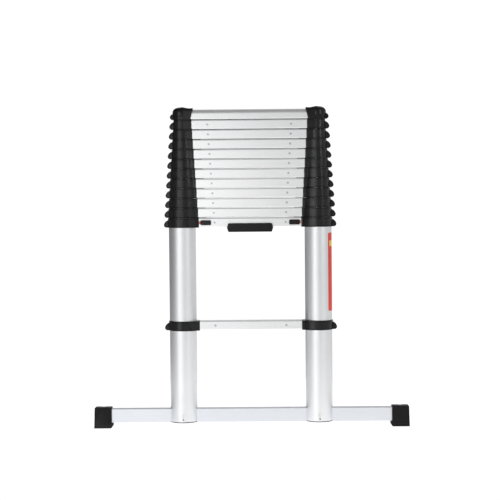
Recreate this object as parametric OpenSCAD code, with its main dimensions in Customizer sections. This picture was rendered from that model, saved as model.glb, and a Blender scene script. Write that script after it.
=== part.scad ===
// Telescoping ladder with a stabiliser bar, closed up and standing on its feet.
// Millimetres. +Z is up, the front faces -Y, and the origin is on the floor under the middle.
// Rungs are counted from the floor. Rungs 1 and 2 belong to the fixed base, the rest slide.

/* [Ladder] */
// Rungs from the floor to the top caps
rung_count = 13; // [5:1:13]
// Rung spacing when a section is run out and locked
open_pitch = 290; // [280:1:300]
// Rung spacing when the sections are closed up
closed_pitch = 27.5; // [27.2:0.1:30]
// Distance between the axes of the two stiles
tube_spacing = 383; // [370:1:420]
// Height of the top of the second rung's collars
base_height = 593; // [585:1:620]
// Air left between two closed collars
collar_gap = 0.3; // [0.3:0.05:0.6]

/* [Tubes] */
// Outside diameter of the base tubes
base_od = 76; // [75:0.5:80]
// Difference in diameter between one tube and the next
od_step = 3.6; // [3.6:0.1:3.8]
// Wall of every tube
tube_wall = 1.4; // [1.2:0.05:1.4]
// Length of a sliding tube below the top of its collar
tube_length = 350; // [345:1:365]
// Height of the open bottom end of the base tubes
tube_lift = 19; // [18:0.5:22]

/* [Rungs] */
// Depth of a rung, front to back
rung_depth = 40; // [38:0.5:41]
// Height of a rung
rung_height = 26; // [25:0.25:26]
// Wall of a rung
rung_wall = 1.6; // [1.4:0.1:2]
// Height of the rounded top rung
top_rung_height = 28.4; // [28:0.1:30]
// Radius of the top rung's upper edges
top_rung_round = 13; // [8:0.5:15]

/* [Collars] */
// Thickness of a collar's ring around its tube
ring_wall = 2.5; // [2.2:0.1:3]
// How far a collar's inner face stands off its tube
block_reach = 9.8; // [9:0.1:11]
// Depth of the block that takes the rung
block_depth = 44; // [43:0.5:46]
// Length of the spigot inside the rung
spigot_length = 52; // [50:1:56]
// How far the clamp ear stands off the tube
ear_reach = 13.5; // [13:0.1:15]
// Radius of the ear's round lobe
lobe_r = 7.5; // [7.2:0.1:8]
// Thickness of the ear, front to back
ear_depth = 18; // [16:0.5:20]
// Height of the top caps
cap_height = 36.2; // [35:0.1:38]

/* [Locks] */
// Radius of a lock pin
pin_r = 5; // [4.5:0.1:5.2]
// Travel of the release buttons
button_travel = 6; // [4:0.5:6]
// Width of a release button
button_w = 30; // [28:0.5:30]
// Height of a release button
button_h = 14; // [12:0.5:16]

/* [Stabiliser] */
// Overall width over the rubber feet
bar_span = 890; // [800:5:1000]
// Height of the stabiliser bar
bar_h = 40; // [38:0.5:40]
// Depth of the stabiliser bar
bar_d = 25; // [24:0.5:26]
// Wall of the stabiliser bar
bar_wall = 2; // [1.5:0.1:2.5]
// Thickness of the rubber under the bar
sole_t = 15; // [14:0.5:16]
// Width of a rubber foot
foot_w = 50; // [46:1:55]
// Depth of a rubber foot
foot_d = 34; // [32:0.5:40]

/* [Carry grip] */
// Length of the grip under the second rung
grip_length = 130; // [110:1:150]
// Height of the grip's front plate
grip_h = 24.7; // [22:0.1:26]
// Thickness of the grip's front plate
grip_t = 6; // [5:0.5:8]

/* [Hidden] */
fit = 0.1;
slide_clear = 0.3;
collar_h = closed_pitch - collar_gap;
slide_travel = open_pitch - closed_pitch;
half_spacing = tube_spacing / 2;
last_rung = rung_count - 1;

// Collars
lip_t = 3;
tab_t = 0.9;
tab_length = 22;
tab_width = 16;
split_w = 1.6;
lobe_z = 8;
block_round = 2;
corner_steps = 6;
cut = 1;

// Bushes at the foot of each sliding tube
bush_flange = 3;
bush_depth = 12;
bush_hole_r = 6;

// Rungs
rung_corner = 3;
tread_grooves = 7;
groove_w = 1.6;
groove_depth = 0.6;

// Fasteners
rivet_inset = 44;
rivet_r = 2;
rivet_head_r = 3;
rivet_head_t = 0.8;
pinch_r = 2.5;
pinch_head_r = 4.3;
pinch_head_t = 3.4;
pinch_recess = 4;
socket_r = 2.2;
bolt_r = 4;
bolt_head_r = 5.5;
bolt_head_t = 2.4;
plug_screw_r = 1.5;
plug_screw_head_r = 2.4;
plug_screw_t = 0.9;
plug_screw_length = 10;
plug_screw_drop = 9;

// Locks
pin_length_in_rung = 24;
pin_hole_depth = 4.2;
link_r = 3;
button_inset = 19;
button_t = 5;
button_lift = 0.3;
button_corner = 4;
button_ridge_w = 18;
button_ridge_h = 3.5;
spring_r = 4.8;
spring_hole_r = 3.4;
spring_coils = 7;

// Base
plug_top = 70;
plug_rim_t = 2.4;
foot_top_t = 3.6;
foot_end_t = 4;
foot_flare = 2;
foot_lip = 5;
foot_lip_rise = 3;
foot_bevel = 2;
bar_round = 2;
bar_inner_round = 1;

// Carry grip
grip_overlap = 11;
grip_tip = 4;
grip_shelf_t = 3;
grip_shelf_depth = 30;
grip_rib_t = 3;
grip_rib_count = 4;

// Top caps
cap_r = 24.5;
cap_foot_r = 21.5;
cap_waist = 12;
cap_dome_h = 16.5;
cap_steps = 10;
cap_inner_drop = 3.1;
cap_face_foot = 26.5;
cap_face_head = 34;
cap_block_depth = 47;
cap_block_round = 12;
cap_clear = 4 * cap_r;

// Outside radius of the tube that carries rung k
function tube_r(k) = base_od / 2 - max(k - 2, 0) * od_step / 2;
// Height of the top of collar k with the ladder closed
function collar_top(k) = k <= 2 ? base_height - (2 - k) * open_pitch : base_height + (k - 2) * closed_pitch;
function collar_bottom(k) = collar_top(k) - collar_h;
function rung_bottom(k) = collar_bottom(k) + tab_t;
function rung_middle(k) = rung_bottom(k) + rung_height / 2;
// Distance from the tube's axis to the collar's inner face, and half of a rung's length
function face_x(k) = tube_r(k) + block_reach;
function rung_half(k) = half_spacing - face_x(k);

function arc(centre, r, from, to, steps) = [
    for (i = [0 : steps])
        let (a = from + (to - from) * i / steps)
        [centre[0] + r * cos(a), centre[1] + r * sin(a)]
];
function rounded_rect(w, h, r) = concat(
    arc([w / 2 - r, h / 2 - r], r, 0, 90, corner_steps),
    arc([r - w / 2, h / 2 - r], r, 90, 180, corner_steps),
    arc([r - w / 2, r - h / 2], r, 180, 270, corner_steps),
    arc([w / 2 - r, r - h / 2], r, 270, 360, corner_steps)
);
// Section of the top rung: square below, well rounded above
function bullet(w, h, r, foot_r) = concat(
    arc([w / 2 - r, h / 2 - r], r, 0, 90, 2 * corner_steps),
    arc([r - w / 2, h / 2 - r], r, 90, 180, 2 * corner_steps),
    arc([foot_r - w / 2, foot_r - h / 2], foot_r, 180, 270, corner_steps),
    arc([w / 2 - foot_r, foot_r - h / 2], foot_r, 270, 360, corner_steps)
);
// Point where the line from p touches a circle, on the side anticlockwise from p
function tangent(centre, r, p) =
    let (d = p - centre, a = atan2(d[1], d[0]) + acos(r / norm(d)))
    centre + r * [cos(a), sin(a)];

// Places a left-hand piece: its tube's axis is the origin and +X points inwards
module at_side(side) {
    mirror([side, 0, 0]) translate([-half_spacing, 0, 0]) children();
}
module both_sides() {
    for (side = [0, 1]) at_side(side) children();
}
// A cylinder along Y, from y0 to y1
module bar_y(r, y0, y1) {
    translate([0, y0, 0]) rotate([-90, 0, 0]) cylinder(r = r, h = y1 - y0, $fn = 48);
}
// A cylinder along X, from x0 to x1
module bar_x(r, x0, x1) {
    translate([x0, 0, 0]) rotate([0, 90, 0]) cylinder(r = r, h = x1 - x0, $fn = 48);
}
// Extrudes a Y-Z outline along X, centred
module along_x(length) {
    rotate([90, 0, 90]) linear_extrude(height = length, center = true) children();
}
// Extrudes an X-Z outline along Y, centred
module along_y(length) {
    rotate([90, 0, 0]) linear_extrude(height = length, center = true) children();
}
module tube(r, z0, z1) {
    translate([0, 0, z0]) difference() {
        cylinder(r = r, h = z1 - z0, $fn = 96);
        translate([0, 0, -cut]) cylinder(r = r - tube_wall, h = z1 - z0 + 2 * cut, $fn = 96);
    }
}
// Hole through the inner side of a tube of radius r for a lock pin
module pin_hole(r, z) {
    translate([0, 0, z]) bar_x(pin_r + slide_clear, r - pin_hole_depth, r + cut);
}

module sliding_tube(k) {
    difference() {
        tube(tube_r(k), collar_top(k) - tube_length, collar_top(k) - lip_t);
        pin_hole(tube_r(k), rung_middle(k - 1) - slide_travel);
        if (k < rung_count) pin_hole(tube_r(k), rung_middle(k));
    }
}
module tubes(k) {
    color("silver") both_sides() sliding_tube(k);
}

module base_tube() {
    bar_slot_top = sole_t + bar_h + slide_clear;
    difference() {
        tube(base_od / 2, tube_lift, base_height - lip_t);
        translate([-base_od, -bar_d / 2 - slide_clear, tube_lift - cut])
            cube([2 * base_od, bar_d + 2 * slide_clear, bar_slot_top - tube_lift + cut]);
        pin_hole(base_od / 2, rung_middle(2));
        translate([0, 0, sole_t + bar_h / 2]) bar_y(bolt_r + fit, -base_od, base_od);
        translate([0, 0, sole_t + bar_h / 2 - plug_screw_drop]) bar_y(plug_screw_r + fit, -base_od, 0);
    }
}
module base_tubes() {
    color("silver") both_sides() base_tube();
}

// Plastic insert in the foot of a base tube, straddling the stabiliser bar
module tube_plug() {
    rim_z = tube_lift - plug_rim_t;
    difference() {
        union() {
            translate([0, 0, rim_z])
                cylinder(r = base_od / 2 - tube_wall - fit, h = plug_top - rim_z, $fn = 96);
            translate([0, 0, rim_z]) cylinder(r = base_od / 2 - fit, h = plug_rim_t - fit, $fn = 96);
        }
        translate([-base_od, -bar_d / 2 - fit, rim_z - cut])
            cube([2 * base_od, bar_d + 2 * fit, sole_t + bar_h + fit - rim_z + cut]);
        translate([0, 0, sole_t + bar_h / 2]) bar_y(bolt_r + fit, -base_od, base_od);
        translate([0, 0, sole_t + bar_h / 2 - plug_screw_drop]) bar_y(plug_screw_r + fit, -base_od, 0);
    }
}
module tube_plugs() {
    color("#202022") both_sides() tube_plug();
}

module stabiliser_bar() {
    bar_length = bar_span - 2 * foot_end_t;
    color("gainsboro") difference() {
        translate([0, 0, sole_t + bar_h / 2]) difference() {
            along_x(bar_length) polygon(rounded_rect(bar_d, bar_h, bar_round));
            along_x(bar_length + cut)
                polygon(rounded_rect(bar_d - 2 * bar_wall, bar_h - 2 * bar_wall, bar_inner_round));
        }
        for (side = [-1, 1])
            translate([side * half_spacing, 0, sole_t + bar_h / 2]) bar_y(bolt_r + fit, -bar_d, bar_d);
    }
}

// Rubber cap on the right-hand end of the bar, with a lip under the bar
module stabiliser_foot() {
    outer = bar_span / 2;
    inner = outer - foot_w;
    top = sole_t + bar_h + foot_top_t;
    difference() {
        along_y(foot_d) polygon([
            [inner + foot_bevel, 0], [outer, 0], [outer - foot_flare, top - foot_bevel],
            [outer - foot_flare - foot_bevel, top],
            [inner, top], [inner, sole_t], [inner - foot_lip, sole_t], [inner - foot_lip, foot_lip_rise]
        ]);
        translate([inner - cut, -bar_d / 2 - fit, sole_t - fit])
            cube([foot_w - foot_end_t + cut + fit, bar_d + 2 * fit, bar_h + 2 * fit]);
        translate([inner - 2 * foot_lip, -foot_d, sole_t - fit]) cube([2 * foot_lip, 2 * foot_d, cut]);
    }
}
module stabiliser_feet() {
    color("#262628") for (side = [0, 1]) mirror([side, 0, 0]) stabiliser_foot();
}

// Low-headed through bolt with a matching barrel nut
module stabiliser_bolt() {
    face = base_od / 2;
    difference() {
        union() {
            bar_y(bolt_r, -face, face);
            bar_y(bolt_head_r, -face - bolt_head_t, -face);
            bar_y(bolt_head_r, face, face + bolt_head_t);
        }
        for (way = [-1, 1])
            translate([0, way * (face + bolt_head_t), 0]) rotate([90, 0, 0])
                cylinder(r = socket_r, h = 2 * bolt_head_t - cut, center = true, $fn = 6);
    }
}
module stabiliser_bolts() {
    color("gainsboro") both_sides() translate([0, 0, sole_t + bar_h / 2]) stabiliser_bolt();
}

// Hollow rung with a grooved tread, drilled for its rivets
module plain_rung(k) {
    length = 2 * rung_half(k);
    inner_w = rung_depth - 2 * rung_wall;
    inner_h = rung_height - 2 * rung_wall;
    groove_pitch = (rung_depth - 3 * rung_corner) / tread_grooves;
    translate([0, 0, rung_middle(k)]) difference() {
        along_x(length) polygon(rounded_rect(rung_depth, rung_height, rung_corner));
        along_x(length + cut) polygon(rounded_rect(inner_w, inner_h, rung_corner - rung_wall));
        for (i = [0 : tread_grooves - 1])
            translate([0, (i - (tread_grooves - 1) / 2) * groove_pitch, rung_height / 2])
                cube([length + cut, groove_w, 2 * groove_depth], center = true);
        for (side = [-1, 1])
            translate([side * (rung_half(k) - rivet_inset), 0, 0])
                bar_y(rivet_r + fit, -rung_depth, rung_depth);
    }
}
module rung(k) {
    color("whitesmoke") plain_rung(k);
}
// The second rung has a slot at each end for a release button's link
module button_rung() {
    color("whitesmoke") difference() {
        plain_rung(2);
        both_sides() translate([face_x(2), 0, rung_middle(2)]) link_slot(-rung_depth);
    }
}
module top_rung() {
    length = 2 * (half_spacing - cap_face_foot);
    inner_w = rung_depth - 2 * rung_wall;
    inner_h = top_rung_height - 2 * rung_wall;
    z = collar_bottom(rung_count) + tab_t + top_rung_height / 2;
    color("whitesmoke") translate([0, 0, z]) difference() {
        along_x(length) polygon(bullet(rung_depth, top_rung_height, top_rung_round, rung_corner));
        along_x(length + cut)
            polygon(bullet(inner_w, inner_h, top_rung_round - rung_wall, rung_corner - rung_wall));
    }
}

// Room for a button's link over its travel, from y = from to the pin
module link_slot(from) {
    r = link_r + slide_clear;
    translate([button_inset - r, from, -r]) cube([2 * r + button_travel, -from, 2 * r]);
}

// Outline of the straight-sided block that grows out of the ring and takes the rung
function block_outline(k) =
    let (x = face_x(k) - block_round, y = block_depth / 2 - block_round)
    concat(
        [[0, -block_depth / 2]],
        arc([x, -y], block_round, -90, 0, corner_steps),
        arc([x, y], block_round, 0, 90, corner_steps),
        [[0, block_depth / 2]]
    );

// Clamp ear on the outer side: a fin from the ring's top down to a round lobe
module ear(k, height) {
    lobe = [-tube_r(k) - ear_reach + lobe_r, lobe_z];
    root = [-tube_r(k) - ring_wall + fit, height - cut];
    touch = tangent(lobe, lobe_r - fit, root);
    along_y(ear_depth) polygon([[-tube_r(k) - cut, 0], [-tube_r(k) - cut, height - cut], root, touch, lobe,
        [lobe[0], 0]]);
    intersection() {
        translate([lobe[0], 0, lobe_z]) bar_y(lobe_r, -ear_depth / 2, ear_depth / 2);
        translate([lobe[0] - 2 * lobe_r, -ear_depth, 0]) cube([4 * lobe_r, 2 * ear_depth, 3 * lobe_r]);
    }
}
module ear_holes(k) {
    translate([-tube_r(k) - ear_reach + lobe_r, 0, lobe_z]) {
        bar_y(pinch_r + fit, -ear_depth, ear_depth);
        for (way = [-1, 1])
            translate([0, way * ear_depth / 2, 0])
                bar_y(pinch_head_r + slide_clear, -pinch_recess, pinch_recess);
    }
}
// The part of a collar that fills the end of its rung
module spigot(k) {
    gap = rung_wall + 2 * fit;
    translate([face_x(k) + (spigot_length - cut) / 2, 0, tab_t + rung_height / 2])
        along_x(spigot_length + cut)
        polygon(rounded_rect(rung_depth - 2 * gap, rung_height - 2 * gap, rung_corner - gap));
}
// Flat tongue under the rung's end, pushed by the collar below to release the lock
module trigger_tab(k) {
    translate([face_x(k) - cut, -tab_width / 2, 0]) cube([tab_length + cut, tab_width, tab_t - fit]);
}

// A collar, with z = 0 at its bottom; a lock collar also has a lip, a pin bore and a split ear
module collar(k, lock) {
    bore_r = tube_r(k) + fit;
    pin_z = tab_t + rung_height / 2;
    difference() {
        union() {
            cylinder(r = tube_r(k) + ring_wall, h = collar_h, $fn = 96);
            linear_extrude(height = collar_h) polygon(block_outline(k));
            ear(k, collar_h);
            spigot(k);
            if (k > 2) trigger_tab(k);
        }
        translate([0, 0, -cut])
            cylinder(r = bore_r, h = lock ? collar_h - lip_t + cut : collar_h + 2 * cut, $fn = 96);
        if (lock) {
            translate([0, 0, -cut])
                cylinder(r = tube_r(k + 1) + slide_clear, h = collar_h + 2 * cut, $fn = 96);
            translate([0, 0, pin_z]) bar_x(pin_r + 2 * fit, tube_r(k) - cut, face_x(k) + spigot_length + cut);
        }
        ear_holes(k);
        translate([-tube_r(k) - ear_reach - cut, -split_w / 2, -cut])
            cube([ear_reach + 2 * cut, split_w, collar_h + 2 * cut]);
        translate([face_x(k) + rivet_inset, 0, pin_z]) bar_y(rivet_r + fit, -rung_depth, rung_depth);
        if (k == 2) translate([face_x(k), 0, pin_z]) link_slot(-rung_depth);
    }
}
// Guide bush in the foot of tube k, with an air hole that slows the closing section
module bush(k) {
    r = tube_r(k) - tube_wall - fit;
    difference() {
        union() {
            translate([0, 0, -bush_flange]) cylinder(r = tube_r(k) + fit, h = bush_flange, $fn = 96);
            cylinder(r = r, h = bush_depth, $fn = 96);
        }
        translate([0, 0, -bush_flange - cut])
            cylinder(r = bush_hole_r, h = bush_flange + bush_depth + 2 * cut, $fn = 48);
    }
}
module base_collars(k) {
    color("#1d1d1f") both_sides() translate([0, 0, collar_bottom(k)]) collar(k, k == 2);
}
module collars_and_bushes(k) {
    color("#1d1d1f") both_sides() {
        translate([0, 0, collar_bottom(k)]) collar(k, true);
        translate([0, 0, collar_top(k) - tube_length]) bush(k);
    }
}

// Half-section of the domed top cap
function cap_section() = concat(
    [[0, 0], [cap_foot_r, 0], [cap_r, cap_waist]],
    [for (i = [0 : cap_steps])
        let (a = 90 * i / cap_steps)
        [cap_r * cos(a), cap_height - cap_dome_h + cap_dome_h * sin(a)]]
);
module cap_block() {
    top = cap_height - cap_inner_drop;
    intersection() {
        along_y(cap_block_depth) polygon([[0, 0], [cap_face_foot, 0], [cap_face_head, top],
            [0, cap_height - cut]]);
        translate([0, 0, cap_height / 2]) along_x(cap_clear)
            polygon(bullet(cap_block_depth, cap_height, cap_block_round, block_round));
    }
}
module top_cap() {
    k = rung_count;
    gap = rung_wall + 2 * fit;
    difference() {
        union() {
            rotate_extrude($fn = 96) polygon(cap_section());
            cap_block();
            ear(k, collar_h);
            translate([cap_face_foot + (spigot_length - cut) / 2, 0, tab_t + rung_height / 4 + gap])
                along_x(spigot_length + cut)
                polygon(rounded_rect(rung_depth - 2 * gap, rung_height / 2, rung_corner - gap));
        }
        translate([0, 0, -cut])
            cylinder(r = tube_r(k) + fit, h = collar_h - lip_t + fit + cut, $fn = 96);
        ear_holes(k);
        top_rung_seat();
    }
}
// Clears the cap's slanted inner face around the end of the top rung
module top_rung_seat() {
    z = tab_t + top_rung_height / 2;
    difference() {
        translate([cap_face_foot - fit + cap_r, 0, z]) along_x(2 * cap_r)
            polygon(bullet(rung_depth + 2 * fit, top_rung_height + 2 * fit, top_rung_round, rung_corner));
        translate([0, 0, z]) along_x(2 * cap_clear)
            polygon(bullet(rung_depth - 2 * rung_wall - 2 * fit, top_rung_height - 2 * rung_wall - 2 * fit,
                top_rung_round - rung_wall, rung_corner - rung_wall));
    }
}
module top_caps_and_bushes() {
    color("#1d1d1f") both_sides() {
        translate([0, 0, collar_bottom(rung_count)]) top_cap();
        translate([0, 0, collar_top(rung_count) - tube_length]) bush(rung_count);
    }
}

// Lock pin along X, held off the next tube; the link of a button or trigger enters its cross hole
module lock_pin(k) {
    difference() {
        bar_x(pin_r, tube_r(k + 1) + slide_clear, face_x(k) + pin_length_in_rung);
        translate([face_x(k) + button_inset, 0, 0]) bar_y(link_r + fit, -2 * pin_r, 2 * pin_r);
    }
}
// Spring between the pin and the rivet, drawn as its stack of coils
module lock_spring(k) {
    start = face_x(k) + pin_length_in_rung + fit;
    length = rivet_inset - rivet_r - pin_length_in_rung - 2 * fit;
    pitch = length / spring_coils;
    wire = spring_r - spring_hole_r;
    crest = [for (i = [0 : spring_coils - 1])
        each [[spring_r - wire / 2, i * pitch], [spring_r, (i + 0.5) * pitch]]];
    translate([start, 0, 0]) rotate([0, 90, 0]) rotate_extrude($fn = 48)
        polygon(concat([[spring_hole_r, 0]], crest,
            [[spring_r - wire / 2, length], [spring_hole_r, length]]));
}
module rivet(k) {
    face = rung_depth / 2;
    translate([face_x(k) + rivet_inset, 0, 0]) {
        bar_y(rivet_r, -face, face);
        for (way = [-1, 1])
            translate([0, way * (face + rivet_head_t / 2), 0])
                bar_y(rivet_head_r, -rivet_head_t / 2, rivet_head_t / 2);
    }
}
// Socket-head pinch screw and its nut, through the ear
module pinch_screw(k) {
    head_y = ear_depth / 2 - pinch_recess;
    translate([-tube_r(k) - ear_reach + lobe_r, 0, lobe_z]) difference() {
        union() {
            bar_y(pinch_r, -head_y, head_y);
            bar_y(pinch_head_r, -head_y - pinch_head_t, -head_y);
            translate([0, head_y + pinch_head_t / 2, 0]) rotate([90, 0, 0])
                cylinder(r = pinch_head_r, h = pinch_head_t, center = true, $fn = 6);
        }
        translate([0, -head_y - pinch_head_t, 0]) rotate([90, 0, 0])
            cylinder(r = socket_r, h = pinch_head_t, center = true, $fn = 6);
    }
}
module locks_and_fixings(k) {
    color("lightgray") both_sides() {
        translate([0, 0, rung_middle(k)]) {
            lock_pin(k);
            lock_spring(k);
            rivet(k);
        }
        translate([0, 0, collar_bottom(k)]) pinch_screw(k);
    }
}
module base_fasteners() {
    screw_z = sole_t + bar_h / 2 - plug_screw_drop;
    face = base_od / 2;
    color("lightgray") both_sides() {
        for (k = [1, 2]) {
            translate([0, 0, rung_middle(k)]) rivet(k);
            translate([0, 0, collar_bottom(k)]) pinch_screw(k);
        }
        translate([0, 0, screw_z]) {
            bar_y(plug_screw_r, -face, plug_screw_length - face);
            bar_y(plug_screw_head_r, -face - plug_screw_t, -face);
        }
    }
}

// Sliding thumb button on the front of the second rung, with its link to the lock pin
module release_button(side) {
    face = rung_depth / 2 + button_lift;
    color("#18181a") at_side(side) translate([face_x(2) + button_inset, 0, rung_middle(2)]) {
        translate([0, -face - button_t / 2, 0]) along_y(button_t)
            polygon(rounded_rect(button_w, button_h, button_corner));
        translate([0, -face - button_t, 0]) along_y(cut)
            polygon(rounded_rect(button_ridge_w, button_ridge_h, cut));
        bar_y(link_r, -face - cut, 0);
    }
}
module release_pin(side) {
    color("silver") at_side(side) translate([0, 0, rung_middle(2)]) lock_pin(2);
}
module release_spring(side) {
    color("gray") at_side(side) translate([0, 0, rung_middle(2)]) lock_spring(2);
}

// Moulded grip: a pointed front plate on the rung's face and a ribbed shelf under the rung
module carry_grip() {
    face = -rung_depth / 2 - 2 * fit;
    top = rung_bottom(2) + grip_overlap;
    bottom = top - grip_h;
    tip_z = (top + bottom) / 2;
    half = grip_length / 2;
    shelf_top = rung_bottom(2) - 2 * fit;
    shelf_half = half - 2 * grip_tip;
    color("#161618") {
        translate([0, face - grip_t / 2, 0]) along_y(grip_t) polygon([
            [-half, tip_z], [grip_tip - half, bottom], [half - grip_tip, bottom],
            [half, tip_z], [half - grip_tip, top], [grip_tip - half, top]
        ]);
        translate([-shelf_half, face - cut, shelf_top - grip_shelf_t])
            cube([2 * shelf_half, grip_shelf_depth + cut, grip_shelf_t]);
        for (i = [0 : grip_rib_count - 1])
            translate([(i / (grip_rib_count - 1) - 0.5) * (2 * shelf_half - grip_rib_t), face, shelf_top])
                rotate([90, 0, 90]) linear_extrude(height = grip_rib_t, center = true)
                polygon([[-cut, -cut], [grip_shelf_depth, -cut], [grip_shelf_depth, -grip_shelf_t - cut],
                    [-cut, bottom - shelf_top + cut]]);
    }
}

base_tubes();
tube_plugs();
stabiliser_bar();
stabiliser_feet();
stabiliser_bolts();
rung(1);  // rung_1
base_collars(1);  // collars_1
button_rung();  // rung_2
base_collars(2);  // collars_2
base_fasteners();
release_button(0);  // release_button_left
release_button(1);  // release_button_right
release_pin(0);  // lock_pin_left
release_pin(1);  // lock_pin_right
release_spring(0);  // lock_spring_left
release_spring(1);  // lock_spring_right
carry_grip();
for (k = [3 : rung_count]) {
    tubes(k);
}
for (k = [3 : last_rung]) {
    rung(k);
    collars_and_bushes(k);
    locks_and_fixings(k);
}
top_rung();
top_caps_and_bushes();
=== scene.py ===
import math

import bmesh
import bpy
from mathutils import Matrix, Vector


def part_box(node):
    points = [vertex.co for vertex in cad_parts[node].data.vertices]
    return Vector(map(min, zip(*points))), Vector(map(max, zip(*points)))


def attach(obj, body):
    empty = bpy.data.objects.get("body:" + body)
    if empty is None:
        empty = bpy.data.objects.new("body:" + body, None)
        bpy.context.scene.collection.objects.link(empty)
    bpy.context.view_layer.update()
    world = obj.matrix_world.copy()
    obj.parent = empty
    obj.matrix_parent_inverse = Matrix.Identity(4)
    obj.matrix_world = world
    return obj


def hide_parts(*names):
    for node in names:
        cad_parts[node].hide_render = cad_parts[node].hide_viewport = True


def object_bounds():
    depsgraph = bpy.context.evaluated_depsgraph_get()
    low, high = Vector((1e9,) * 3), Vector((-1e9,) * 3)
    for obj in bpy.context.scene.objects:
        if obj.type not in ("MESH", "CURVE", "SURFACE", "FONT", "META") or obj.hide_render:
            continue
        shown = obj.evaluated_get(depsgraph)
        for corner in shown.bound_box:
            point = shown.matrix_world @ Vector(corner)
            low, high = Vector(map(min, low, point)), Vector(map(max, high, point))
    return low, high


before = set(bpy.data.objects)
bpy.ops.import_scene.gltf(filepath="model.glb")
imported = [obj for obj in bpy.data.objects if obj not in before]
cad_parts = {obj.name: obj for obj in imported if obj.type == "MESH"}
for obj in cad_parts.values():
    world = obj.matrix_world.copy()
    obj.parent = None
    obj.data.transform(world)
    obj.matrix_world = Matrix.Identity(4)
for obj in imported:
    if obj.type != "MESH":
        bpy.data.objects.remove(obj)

# Telescoping ladder, closed up and standing on its feet. Metres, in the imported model's frame.
# Pieces are drawn for the left stile, with the tube's axis as origin and +X inwards, and placed by side.

CAD_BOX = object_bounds()
MM = 0.001
LEFT, RIGHT = -1, 1
SIDE_NAMES = {LEFT: "left", RIGHT: "right"}
TOP = max(int(name.split("_")[1]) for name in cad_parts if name.startswith("rung_"))
BASE_SECTIONS = (1, 2)


# ---------------------------------------------------------------- places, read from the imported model

def right_half(node):
    """Lowest and highest x of a node's right-hand half."""
    xs = [v.co.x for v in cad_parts[node].data.vertices if v.co.x > 0]
    return min(xs), max(xs)


def tube_node(k):
    return "base_tubes" if k in BASE_SECTIONS else f"tubes_{k}"


def body(k):
    return "base" if k in BASE_SECTIONS else f"section_{k}"


def tube_radius(k):
    low, high = right_half(tube_node(k))
    return (high - low) / 2


TUBE_AXIS = sum(right_half("base_tubes")) / 2
COLLAR_LOW, COLLAR_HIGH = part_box("collars_2")
COLLAR_HEIGHT = COLLAR_HIGH.z - COLLAR_LOW.z
TAB_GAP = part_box("rung_2")[0].z - COLLAR_LOW.z
EAR_REACH = COLLAR_HIGH.x - TUBE_AXIS - tube_radius(2)


def rung_end(k):
    """Distance from the tube's axis to the end of rung k, where the collar's inner face is."""
    return TUBE_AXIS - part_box(f"rung_{k}")[1].x


def collar_bottom(k):
    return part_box(f"rung_{k}")[0].z - TAB_GAP


# ---------------------------------------------------------------- camera, lights and floor

CAMERA_PLACE = (0.0448, -4.097, 0.6454)
CAMERA_YAW = 0.641
CAMERA_PITCH = -2.016
CAMERA_ROLL = -0.504
CAMERA_LENS = 104.53
SENSOR_WIDTH = 36


def make_camera():
    data = bpy.data.cameras.new("studio_camera")
    data.sensor_width = SENSOR_WIDTH
    data.lens = CAMERA_LENS
    camera = bpy.data.objects.new("studio_camera", data)
    bpy.context.scene.collection.objects.link(camera)
    camera.matrix_world = (
        Matrix.Translation(CAMERA_PLACE)
        @ Matrix.Rotation(math.radians(CAMERA_YAW), 4, "Z")
        @ Matrix.Rotation(math.radians(90 + CAMERA_PITCH), 4, "X")
        @ Matrix.Rotation(math.radians(CAMERA_ROLL), 4, "Z")
    )
    bpy.context.scene.camera = camera


# Brightness of the studio walls by direction: degrees to the right of the camera, and the tone there
STUDIO_WALLS = (
    (-180, 1.30), (-170, 1.15), (-158, 0.18), (-100, 0.18), (-65, 0.24), (-45, 0.42), (-22, 0.56), (0, 0.50),
    (20, 0.43), (35, 0.40), (60, 0.56), (100, 0.74), (150, 0.64), (165, 1.00), (180, 1.30),
)
# Share of the walls' brightness by height: sine of the elevation, and the share there
STUDIO_HEIGHTS = (
    (-1.0, 1.0), (0.05, 1.0), (0.15, 0.80), (0.30, 0.58), (0.50, 0.54), (0.82, 0.56), (1.0, 0.62),
)
BACKDROP_WHITE = 1.05
LIGHT_AIM = Vector((0, 0, 0.55))
# What each soft light is: degrees to the right of the camera, distance, height, width, length and tone
SOFT_LIGHTS = {
    "strip_left": (-31, 3.2, 0.75, 1.50, 2.0, 1.75),
    "strip_right": (43, 3.2, 1.55, 0.45, 1.4, 8.0),
    "front": (-11, 1.6, 0.70, 0.45, 0.32, 2.4),
}


def set_stops(node, stops):
    """Gives a colour ramp its stops, each a place and a colour. A colour of one value is grey."""
    elements = node.color_ramp.elements
    for i, (place, color) in enumerate(stops):
        element = elements[i] if i < 2 else elements.new(place)
        element.position = place
        element.color = (*color, 1) if len(color) == 3 else (*color * 3, 1)


def maths(nodes, operation, *constants):
    """A maths node, whose last inputs are the constants."""
    node = nodes.new("ShaderNodeMath")
    node.operation = operation
    for i, constant in enumerate(constants):
        node.inputs[i + 1].default_value = constant
    return node


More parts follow.
